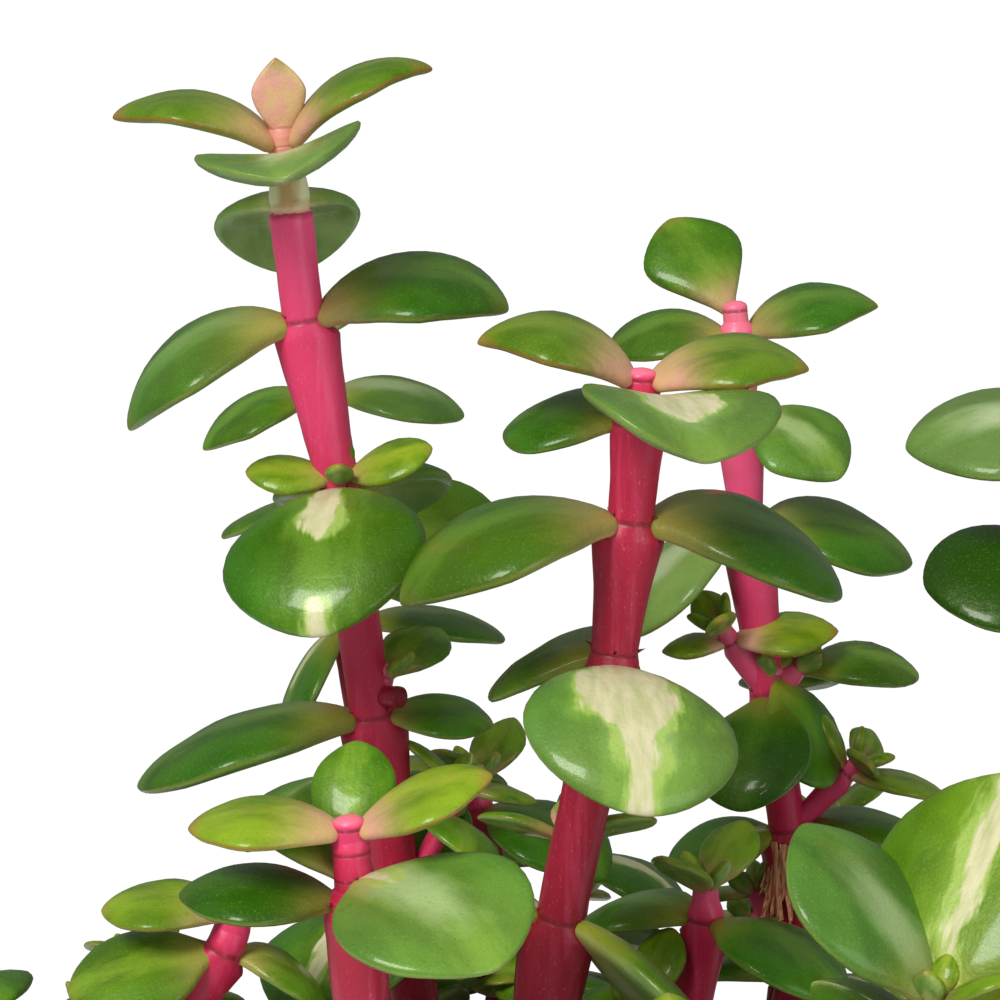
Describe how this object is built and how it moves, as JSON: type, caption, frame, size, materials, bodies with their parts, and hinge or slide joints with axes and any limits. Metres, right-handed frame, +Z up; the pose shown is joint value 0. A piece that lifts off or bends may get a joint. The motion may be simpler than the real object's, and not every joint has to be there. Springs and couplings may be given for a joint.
{
  "type": "elephant bush in pot",
  "caption": "Potted elephant bush with upright pink jointed stems and fleshy opposite leaves, standing in a soil-filled round clay pot.",
  "frame": {"origin": "centre of the pot's flat base, on the surface it stands on", "axes": "+Z up through the pot and the stems, -Y towards the front of the plant, +X to its right"},
  "size_m": [0.1331, 0.1143, 0.2065],
  "materials": {
    "clay": "matte",
    "soil": "matte",
    "leaf": "satin",
    "stem": "satin"
  },
  "bodies": {
    "root": {"pot": "clay", "soil": "soil", "tall_left": "leaf", "centre": "leaf", "right": "leaf", "front_left": "leaf", "behind_left": "leaf", "far_right": "leaf", "front_right": "leaf", "low_left": "leaf", "front_centre": "leaf", "back_centre": "leaf", "back_right": "leaf", "back_left": "leaf", "side_left": "leaf", "side_right": "leaf", "middle": "leaf", "right_centre": "leaf"}
  },
  "joints": []
}
